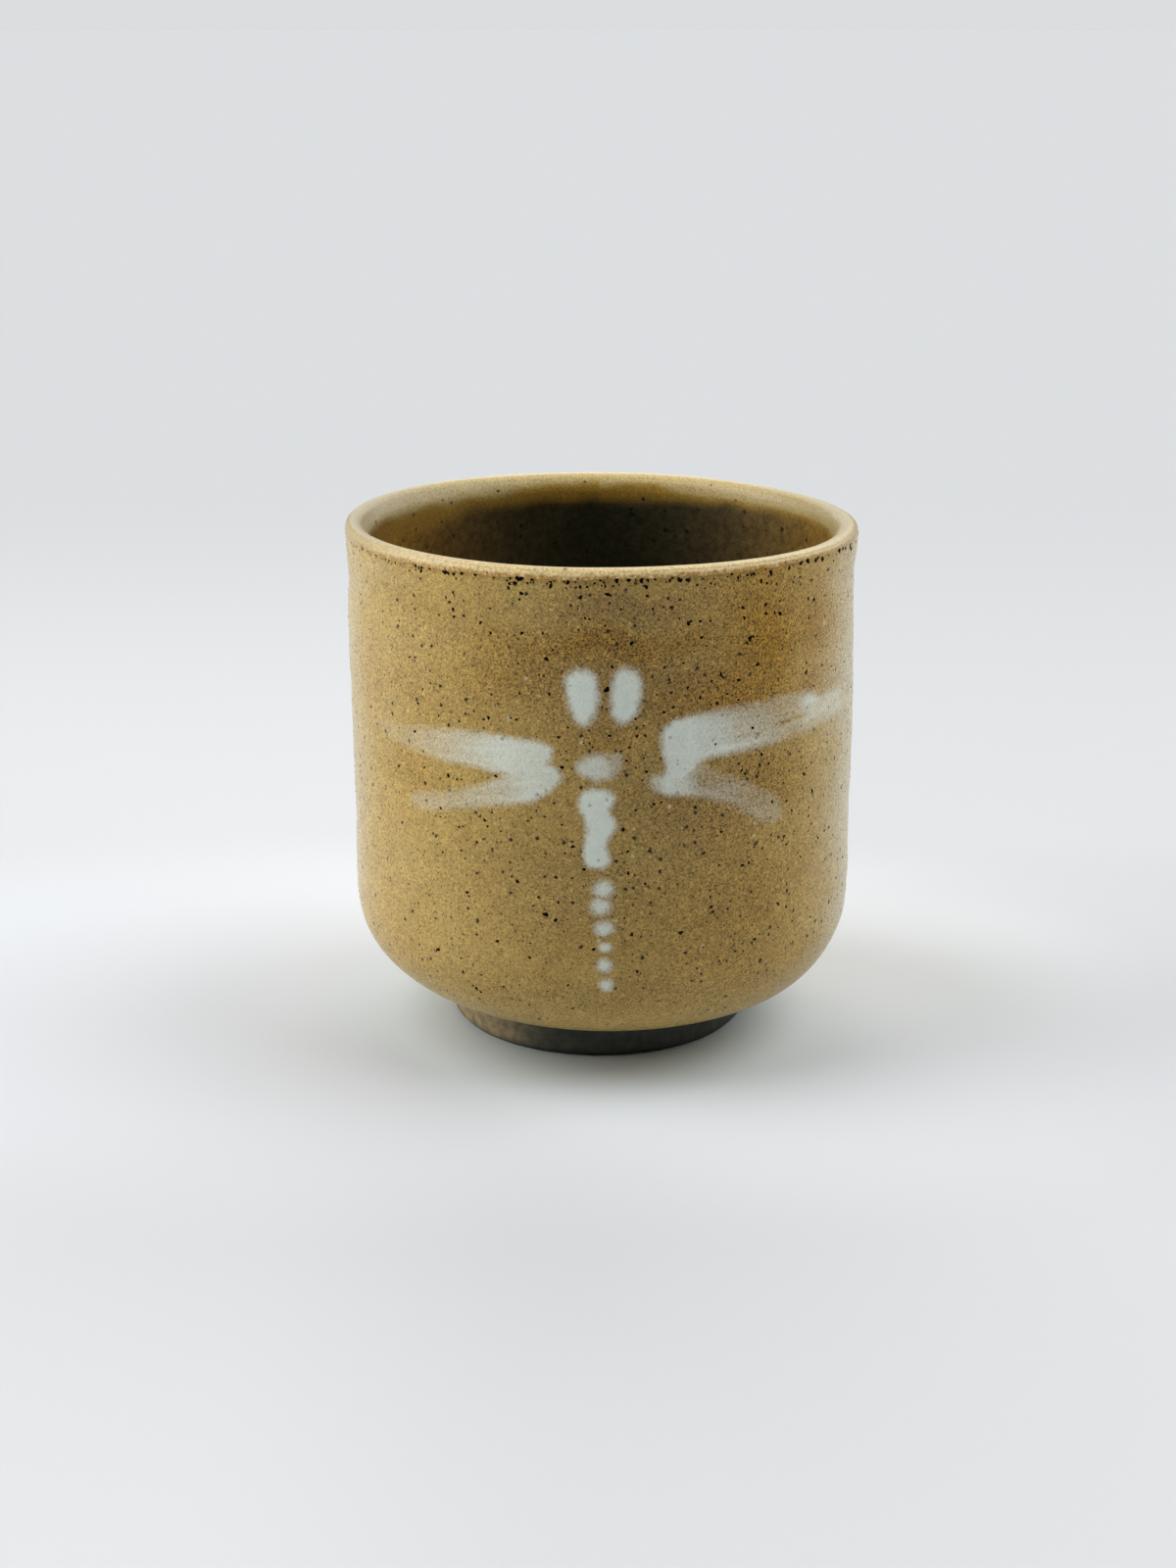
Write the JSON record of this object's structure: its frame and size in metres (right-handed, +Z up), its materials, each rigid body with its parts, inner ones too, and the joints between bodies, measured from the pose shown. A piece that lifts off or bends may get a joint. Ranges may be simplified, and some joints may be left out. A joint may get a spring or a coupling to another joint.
{
  "type": "tea cup",
  "caption": "Tall stoneware tea cup without a handle, on a turned foot ring, with an ochre glaze and a dragonfly brushed in white slip. Holds hot tea.",
  "frame": {"origin": "middle of the edge that the foot ring rests on", "axes": "+Z up along the cup's turning axis, the dragonfly faces -Y, +X to the viewer's right"},
  "size_m": [0.0802, 0.0805, 0.082],
  "materials": {
    "bare_clay": "bare reddish grey stoneware under the glaze, matt and fine grained",
    "foot_clay": "turned stoneware with a thin wash of the ochre glaze, satin",
    "ochre_glaze": "satin gloss ochre glaze with iron specks and sandy mottling",
    "rim_glaze": "paler ochre glaze that has run thin over the rim, glossy",
    "liner_glaze": "darker ochre glaze inside the cup, glossy",
    "white_slip": "off-white brushed slip under a clear glaze, soft edged, satin"
  },
  "bodies": {
    "root": {"cup_body": "bare_clay", "foot_ring": "foot_clay", "outer_glaze": "ochre_glaze", "lip_glaze": "rim_glaze", "liner_glaze": "liner_glaze", "slip_eye_left": "white_slip", "slip_eye_right": "white_slip", "slip_thorax": "white_slip", "slip_abdomen": "white_slip", "slip_tail_dots": "white_slip", "slip_wing_upper_left": "white_slip", "slip_wing_lower_left": "white_slip", "slip_wing_upper_right": "white_slip", "slip_wing_lower_right": "white_slip"}
  },
  "joints": []
}
